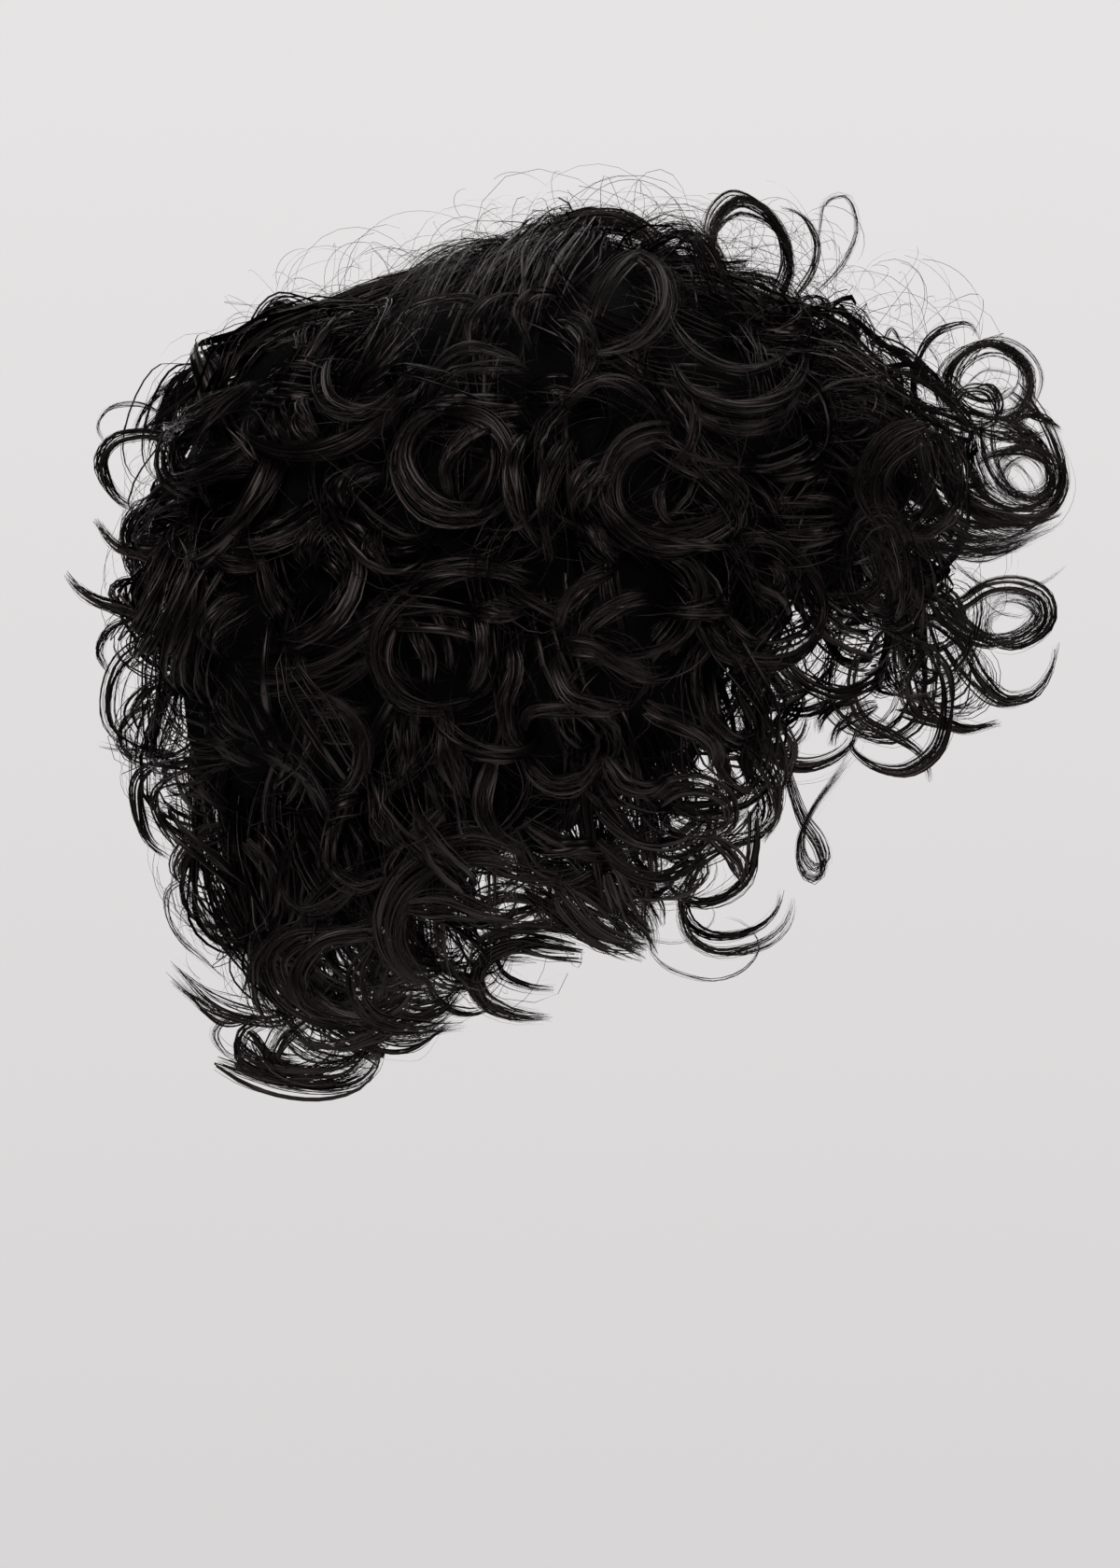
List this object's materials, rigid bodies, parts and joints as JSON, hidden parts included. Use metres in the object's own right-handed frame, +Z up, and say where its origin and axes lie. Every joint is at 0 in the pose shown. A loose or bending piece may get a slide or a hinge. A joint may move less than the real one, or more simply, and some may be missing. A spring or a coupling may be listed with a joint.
{
  "type": "short curly wig",
  "caption": "Short wig of loose barrel curls on a stretch cap, with curls over the forehead, ears and nape and an open hollow for the head.",
  "frame": {"origin": "crown point on the inside of the cap, where the top of the head seats", "axes": "+Z up out of the crown, +X to the front of the wig, -Y to its right side"},
  "size_m": [0.3151, 0.2516, 0.2825],
  "materials": {
    "cap_mesh": "matt black stretch mesh",
    "hair": "soft sheen, black synthetic fibre"
  },
  "bodies": {
    "root": {"wig_cap": "cap_mesh", "crown_curls": "hair", "fringe_curls": "hair", "right_curls": "hair", "left_curls": "hair", "back_curls": "hair", "nape_curls": "hair"}
  },
  "joints": []
}
